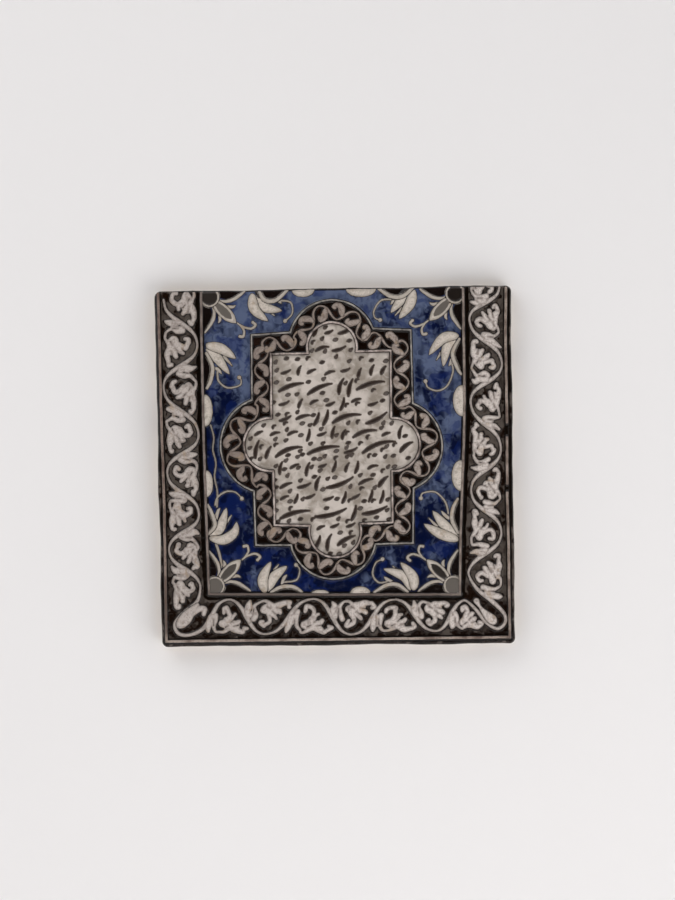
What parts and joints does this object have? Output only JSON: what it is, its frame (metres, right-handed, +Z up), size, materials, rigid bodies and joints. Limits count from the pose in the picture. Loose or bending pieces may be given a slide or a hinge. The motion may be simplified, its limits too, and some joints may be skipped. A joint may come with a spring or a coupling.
{
  "type": "wall tile",
  "caption": "Near-square glazed wall tile moulded in low relief, with a lobed cartouche of brush strokes on a blue flower field and a leaf-scroll border on three sides.",
  "frame": {"origin": "middle of the flat back, where the tile beds against the wall", "axes": "+Z up, +X to the right of someone facing the tile, the relief face looks along -Y and the back lies on y = 0"},
  "size_m": [0.2517, 0.0168, 0.2516],
  "materials": {
    "tile": "moulded stonepaste painted in cobalt blue, brown-black and grey on a cream-white slip under a clear glossy glaze, with a bare buff back"
  },
  "bodies": {
    "root": {"tile": "tile"}
  },
  "joints": []
}
